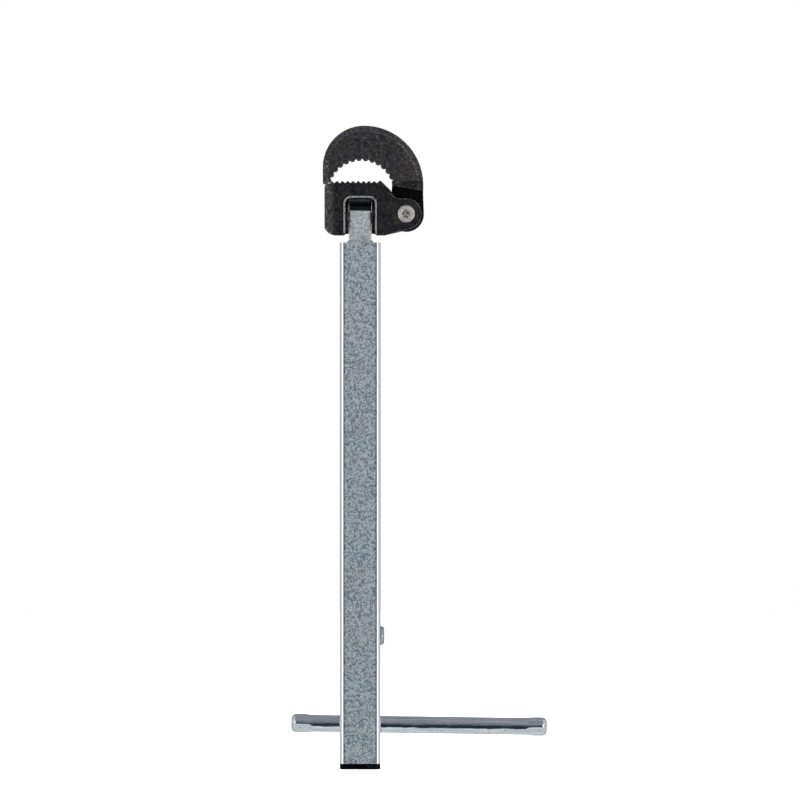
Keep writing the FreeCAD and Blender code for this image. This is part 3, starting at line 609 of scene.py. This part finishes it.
def black_casting():
    finish = Finish("black_casting")
    sand = finish.cloud(SAND_SIZE, detail=4.0)
    lumps = finish.cloud(LUMP_SIZE, detail=3.0, distortion=0.4)
    brown = finish.cloud(BROWN_SIZE, detail=3.0).between(0.50, 0.68)
    specks = finish.cloud(SPECK_SIZE, detail=2.0).between(0.64, 0.74)
    rubbed = finish.cloud(RUB_SIZE, detail=3.0).between(0.42, 0.62)
    heel, lit_left_side, hook_slot_shade = heel_places(finish)
    rim_highlight_mask, fork = fork_rim(finish)
    rim_highlight_mask = rim_highlight_mask * finish.cloud(RIM_HIGHLIGHT_GRAIN, detail=2.0).between(0.30, 0.55)
    # painted highlight: the hook's right-side edges count as sharper than they are, so more of them
    # turn grey
    (east,) = finish.axes("X")
    hook_edge_highlight = east.between(HOOK_HIGHLIGHT_START, HOOK_HIGHLIGHT_FULL) * (1 - heel) * 0.012
    wear_and_highlight = (finish.ridge() + hook_edge_highlight).between(0.508, 0.540) * rubbed
    skin = (sand * 0.5 + lumps * 0.5).between(0.35, 0.65).tint(*OXIDE)
    skin = (heel * 0.60).tint(skin, HEEL_OXIDE)
    # painted shade: the slot for the hook goes deep black
    skin = (hook_slot_shade * 0.9).tint(skin, RECESS_SHADE)
    # painted shade: everything inside the heel jaw's fork goes deep black
    skin = (fork * heel * 0.9).tint(skin, RECESS_SHADE)
    skin = (brown * 0.5).tint(skin, BROWNED)
    # painted light: the heel jaw's rounded left side is painted paler, as if lit
    skin = (lit_left_side * 0.7).tint(skin, lumps.between(0.3, 0.7).tint(*LIT_SIDE))
    skin = (specks * 0.6).tint(skin, SPECK)
    # painted highlight: a grey line on the bevel round the fork's mouth
    skin = (rim_highlight_mask * 0.9).tint(skin, RIM_HIGHLIGHT)
    return finish.surface(
        Base_Color=(wear_and_highlight * 0.55).tint(skin, WORN_EDGE_AND_HIGHLIGHT),
        Metallic=wear_and_highlight * 0.5,
        Roughness=sand.blend(0.62, 0.42),
        Specular_IOR_Level=0.05,
        height=sand * SAND_HEIGHT + lumps * LUMP_HEIGHT,
    )


finishes["black_casting"] = black_casting()

# %% [markdown]
# ## Moulded plastic
#
# The end cap is injection-moulded. It is black through and through, slightly glossy, with the fine
# spark-eroded texture of its mould and a few scuffs where the tool is set down. Plain black would
# read as a hole, so the scuffs change its gloss more than its colour.

# %% Mix the black plastic
TEXTURE_SIZE, TEXTURE_HEIGHT = 0.3 * MM, 0.02 * MM
SCUFF_SIZE = 1.8 * MM
CAP_BLACK = (0.001, 0.001, 0.002), (0.006, 0.006, 0.007)


def black_plastic():
    finish = Finish("black_plastic")
    texture = finish.cloud(TEXTURE_SIZE, detail=2.0)
    scuffs = finish.cloud(SCUFF_SIZE, detail=4.0, stretch=(3, 1, 1)).between(0.58, 0.70)
    return finish.surface(
        Base_Color=scuffs.tint(*CAP_BLACK),
        Roughness=scuffs.blend(0.30, 0.50),
        Specular_IOR_Level=0.04,
        height=texture * TEXTURE_HEIGHT,
    )


finishes["black_plastic"] = black_plastic()

# %% [markdown]
# ## Punched steel on the rivet
#
# The jaw pin's ends are spread with a punch. The punch tears the metal in the dimple, where dirt
# then stays, and leaves the ring round it pale and dented. A mask by the distance from the pin's
# axis tells the two apart, so this finish needs the pin's place and can't be shared.

# %% Mix the riveted steel
DIMPLE_RADIUS = 2.5 * MM
DIMPLE_FLOOR = 0.7
TEAR_SIZE, TEAR_HEIGHT = 0.7 * MM, 0.05 * MM
RING_DENT_SIZE, RING_DENT_HEIGHT = 0.8 * MM, 0.22 * MM
TORN_STEEL = (0.06, 0.05, 0.04), (0.62, 0.57, 0.50)
RING_STEEL = (0.70, 0.66, 0.60), (1.0, 0.97, 0.92)

low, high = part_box("jaw_pin")
pin_centre = (low + high) / 2
pin_radius = (high.x - low.x) / 2
pin_half = (high.y - low.y) / 2


def riveted_steel():
    finish = Finish("riveted_steel")
    reach = ((finish.place - tuple(pin_centre)) * (1, 0, 1)).length()
    dimple = 1 - reach.between(DIMPLE_RADIUS * DIMPLE_FLOOR, DIMPLE_RADIUS)
    torn = finish.cloud(TEAR_SIZE, detail=2.0, distortion=0.8).between(0.40, 0.60)
    dents = finish.cloud(RING_DENT_SIZE, detail=2.0)
    ring = dents.between(0.40, 0.60).tint(*RING_STEEL)
    return finish.surface(
        Base_Color=dimple.tint(ring, torn.tint(*TORN_STEEL)),
        Metallic=1.0,
        Roughness=dimple.blend(0.42, 0.50),
        height=dents * RING_DENT_HEIGHT + torn * dimple * TEAR_HEIGHT,
    )


finishes["riveted_steel"] = riveted_steel()
print("jaw pin in mm:", round(2 * pin_radius / MM, 1), "thick,", round(2 * pin_half / MM, 1), "long")

# %% [markdown]
# ## Paint the pieces whose shape is right
#
# The tube, the bar, the cap, the button, the cross pin and the springs keep their working shapes.
# Each takes the finish that its material slot is named for. A loop over the slots is safer than a list
# of pieces, because no piece can be forgotten.

# %% Assign the finishes
for node in frame["nodes"].values():
    slot_name = node.material_slots[0].material.name.split(".")[0]
    node.material_slots[0].material = finishes[slot_name]
print("painted pieces:", len(frame["nodes"]))

# %% [markdown]
# ## Pieces that stand for working pieces
#
# The castings, the T-bar and the riveted pin need a softer or rougher shape than their working
# meshes have. A new piece is an ordinary object: it rides on a body, so it moves with the joint, it
# takes the finish of the material slot that it names unless it is handed a finish of its own, and the
# working piece that it replaces is hidden.

# %% The helper that adds a piece


def new_piece(name, mesh, body, slot_name, replaced, finish=None):
    """An object for this mesh that rides on a body and stands for a working piece."""
    piece = bpy.data.objects.new(name, mesh)
    bpy.context.scene.collection.objects.link(piece)
    mesh.materials.clear()
    mesh.materials.append(finish or finishes[slot_name])
    for face in mesh.polygons:
        face.use_smooth = True
    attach(piece, body)
    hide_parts(replaced)
    low, high = Vector(piece.bound_box[0]), Vector(piece.bound_box[6])
    print(name, len(mesh.polygons), "faces,", [round(x / MM, 1) for x in high - low], "mm")


print("helper ready:", new_piece.__doc__)

# %% [markdown]
# ## The cast jaws
#
# A casting has no sharp edge and no flat face: sand rounds every corner and leaves a skin with shallow
# pits. The working mesh is sharp, so it is rebuilt. A bevel would give neat machined edges, which no
# casting has. A voxel remesh gives an even net of quads, a few rounds of smoothing take the corners
# off, and then each point sinks a little by noise. It only ever sinks, so the casting stays inside
# the working shape and nothing new can rub.

# %% Make an even net with rounded corners
CAST_CELL = 0.25 * MM
CAST_ROUNDING = 3
SMOOTHING = 0.5


def even_mesh(node):
    """The node's mesh as an even net of quads with rounded corners."""
    draft = bpy.data.objects.new("draft", frame["nodes"][node].data.copy())
    bpy.context.scene.collection.objects.link(draft)
    remesh = draft.modifiers.new("even", "REMESH")
    remesh.mode = "VOXEL"
    remesh.voxel_size = CAST_CELL
    smooth = draft.modifiers.new("rounded", "SMOOTH")
    smooth.factor = SMOOTHING
    smooth.iterations = CAST_ROUNDING
    settled = draft.evaluated_get(bpy.context.evaluated_depsgraph_get())
    mesh = bpy.data.meshes.new_from_object(settled)
    bpy.data.objects.remove(draft)
    print(node, "has", len(mesh.vertices), "points before its skin is cast")
    return mesh


# %% Cast the skin
SKIN_DEPTH = 0.05 * MM
SKIN_GRAIN = 0.7 * MM
PIT_DEPTH = 0.10 * MM
PIT_GRAIN = 1.9 * MM
PIT_START = 0.25


def sand_skin(mesh):
    """Sinks each point of the mesh along its normal by the depth of the cast skin there."""
    normals = [normal.vector.copy() for normal in mesh.vertex_normals]
    sunk = []
    for point, normal in zip(mesh.vertices, normals):
        grain = noise.noise(point.co / SKIN_GRAIN) * 0.5 + 0.5
        pit = max(0.0, noise.noise(point.co / PIT_GRAIN) - PIT_START)
        sunk.extend(point.co - normal * (grain * SKIN_DEPTH + pit * PIT_DEPTH))
    mesh.vertices.foreach_set("co", sunk)


for node, body in (("heel_jaw", "heel"), ("hook_jaw", "hook")):
    mesh = even_mesh(node)
    sand_skin(mesh)
    new_piece(node + "_casting", mesh, body, "black_casting", node)

# %% [markdown]
# ## The pressed T-bar
#
# The T-bar's ends are squeezed in a die, so two flats go in and the metal between them bulges out
# into ears that can't pass the hole in the tube. The flats run out in a curve where the die's edge
# leaves the rod, and each nose is rounded down to a small flat face. Cutting the flats from a cylinder
# would leave sharp seams, so the rod is swept from rings instead. Each ring of points asks one
# question: how far out is the skin at this place along the rod and at this angle round it? That is
# the smaller of the bulge and the flat, so the curved run-out comes by itself.

# %% Say where the rod's skin is
EAR_LENGTH = 11.5 * MM
EAR_RADIUS = 4.65 * MM
EAR_FLAT = 3.5 * MM
ROD_RADIUS = 4.25 * MM
FLAT_RUN_OUT = 3.0 * MM
FLAT_ANGLE = math.radians(45)
NOSE_LENGTH = 2.6 * MM
NOSE_FACE = 2.2 * MM
FLAT_EDGE = 0.3 * MM
LEAST_COSINE = 0.05
BULGE_RUN_OUT = 5.5 * MM


def smooth_step(x):
    """0 below 0, 1 above 1, and a smooth step between them."""
    x = min(1.0, max(0.0, x))
    return x * x * (3 - 2 * x)


def soft_smaller(a, b, edge):
    """The smaller of two lengths, with the corner where they meet rounded over this edge."""
    h = max(0.0, edge - abs(a - b)) / edge
    return min(a, b) - h * h * edge / 4


def rod_skin(from_end, angle):
    """How far the rod's skin is from its axis, this far from its end, at this angle round it."""
    inside = EAR_LENGTH - from_end
    bulge = ROD_RADIUS + (EAR_RADIUS - ROD_RADIUS) * smooth_step(inside / BULGE_RUN_OUT)
    flat = ROD_RADIUS + (EAR_FLAT - ROD_RADIUS) * smooth_step(inside / FLAT_RUN_OUT)
    across = max(abs(math.cos(angle - FLAT_ANGLE)), LEAST_COSINE)
    skin = soft_smaller(bulge, flat / across, FLAT_EDGE) if inside > 0 else ROD_RADIUS
    # the nose swells from its small flat face to the full skin in a quarter of an ellipse
    short = max(0.0, 1 - from_end / NOSE_LENGTH)
    return NOSE_FACE + (skin - NOSE_FACE) * math.sqrt(1 - short**2)


print("ear's widest skin in mm:", round(rod_skin(NOSE_LENGTH, FLAT_ANGLE + math.pi / 2) / MM, 2))

# %% Turn rings into a mesh
SIDES_OF_ROD = 128
NOSE_RINGS = 16
PLAIN_STEP = 2.5 * MM
EAR_STEP = 0.22 * MM


def ring_places(length):
    """Distances along the rod: close together on the ears, far apart on the plain stretch."""
    turns = [math.pi / 2 * i / NOSE_RINGS for i in range(NOSE_RINGS + 1)]
    places = [NOSE_LENGTH * (1 - math.cos(turn)) for turn in turns]
    while places[-1] < EAR_LENGTH + EAR_STEP:
        places.append(places[-1] + EAR_STEP)
    plain = length - 2 * places[-1]
    steps = round(plain / PLAIN_STEP)
    middle = [places[-1] + plain * (i + 1) / steps for i in range(steps - 1)]
    return places + middle + [length - place for place in reversed(places)]


def lathe(name, rings, around):
    """A closed mesh from rings of points, each ring a list of `around` corners."""
    points = [point for ring in rings for point in ring]
    last = (len(rings) - 1) * around
    faces = []
    for here in range(0, last, around):
        there = here + around
        for i in range(around):
            j = (i + 1) % around
            faces.append((here + i, here + j, there + j, there + i))
    faces.append(tuple(reversed(range(around))))
    faces.append(tuple(last + i for i in range(around)))
    mesh = bpy.data.meshes.new(name)
    mesh.from_pydata(points, [], faces)
    mesh.validate()
    return mesh


print("rings for a 100 mm rod:", len(ring_places(100 * MM)))

# %% Sweep the T-bar
WORKING_FACE = 3.2 * MM

joints = {joint["name"]: joint for joint in frame["joints"]}
along = Vector(joints["t_bar_slide"]["axis"])
low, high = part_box("t_bar")
length = (high.x - low.x - 2 * WORKING_FACE * abs(along.z)) / along.x
lean = Vector((1, 0, 0)).rotation_difference(along).to_matrix().to_4x4()
lean = Matrix.Translation((low + high) / 2) @ lean
rings = []
for place in ring_places(length):
    from_end = min(place, length - place)
    ring = []
    for i in range(SIDES_OF_ROD):
        angle = 2 * math.pi * i / SIDES_OF_ROD
        skin = rod_skin(from_end, angle)
        point = (place - length / 2, skin * math.cos(angle), skin * math.sin(angle))
        ring.append(lean @ Vector(point))
    rings.append(ring)
new_piece("t_bar_rod", lathe("t_bar_rod", rings, SIDES_OF_ROD), "t_bar", "zinc_rod", "t_bar")

# %% [markdown]
# ## The riveted pin
#
# The jaw pin is a plain steel pin whose ends are spread with a punch. The punch leaves a ragged dimple
# and pushes the metal out into a raised, slightly uneven ring. Pressing a ball into a cylinder would
# make a dimple that is too clean. So the pin is turned from a profile, which goes from the axis
# outwards over the dimple and the ring, down the shank, and over the same shape at the far end. The
# dimple is roughened, and the ring waves a little.

# %% Turn and punch the jaw pin
PIN_SIDES = 96
DIMPLE_DEPTH = 0.75 * MM
DIMPLE_STEPS = 22
RING_STEPS = 4
EDGE_STEPS = 8
RING_EDGE = 0.6 * MM
PUNCH_GRAIN = 0.9 * MM
PUNCH_DEPTH = 0.38 * MM
FINER = 2.3
LIP = 1.05
LIP_WIDTH = 0.5 * MM
RING_WAVE = 0.10 * MM
WAVE_GRAIN = 1.6 * MM


def end_profile():
    """(radius, depth below the pin's end) from the dimple's middle out to the shank."""
    steps = [(DIMPLE_RADIUS * i / DIMPLE_STEPS, DIMPLE_DEPTH) for i in range(1, DIMPLE_STEPS + 1)]
    profile = [(r, depth * (1 - (r / DIMPLE_RADIUS) ** 3)) for r, depth in steps]
    flat_ring = pin_radius - RING_EDGE
    for i in range(1, RING_STEPS + 1):
        profile.append((DIMPLE_RADIUS + (flat_ring - DIMPLE_RADIUS) * i / RING_STEPS, 0.0))
    for i in range(1, EDGE_STEPS + 1):
        turn = math.pi / 2 * i / EDGE_STEPS
        profile.append((flat_ring + RING_EDGE * math.sin(turn), RING_EDGE * (1 - math.cos(turn))))
    return profile


def pin_ring(radius, depth, end):
    """One ring of the pin's end. The dimple is ragged, and the ring round it waves a little."""
    ring = []
    for i in range(PIN_SIDES):
        angle = 2 * math.pi * i / PIN_SIDES
        place = Vector((radius * math.cos(angle), end * pin_half, radius * math.sin(angle)))
        ragged = smooth_step((DIMPLE_RADIUS * LIP - radius) / LIP_WIDTH)
        wave = smooth_step((pin_radius - radius) / RING_EDGE) * (1 - ragged)
        coarse = noise.noise(place / PUNCH_GRAIN)
        fine = noise.noise(place / PUNCH_GRAIN * FINER)
        sunk = depth + ragged * (coarse + 0.5 * fine) * 0.5 * PUNCH_DEPTH
        sunk += wave * RING_WAVE * (0.5 + 0.5 * noise.noise(place / WAVE_GRAIN))
        place.y = end * (pin_half - max(0.0, sunk))
        ring.append(place + pin_centre)
    return ring


profile = end_profile()
rings = [pin_ring(radius, depth, -1) for radius, depth in profile]
rings += [pin_ring(radius, depth, 1) for radius, depth in reversed(profile)]
rivet = lathe("jaw_pin_rivet", rings, PIN_SIDES)
punched = finishes["riveted_steel"]
new_piece("jaw_pin_rivet", rivet, "heel", "polished_steel", "jaw_pin", punched)

# %% [markdown]
# ## Sizes for the last look
#
# The looks aren't meant to make the tool bigger than its working model. The two boxes are put side by
# side in one table, so that they can be compared, and the looks' size is printed.

# %% Put the sizes side by side and finish
sizes = {"cad": [list(corner) for corner in cad_box]}
sizes["visual"] = [list(corner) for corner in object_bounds()]
print("overall size in mm:", [round((b - a) / MM, 1) for a, b in zip(*sizes["visual"])])
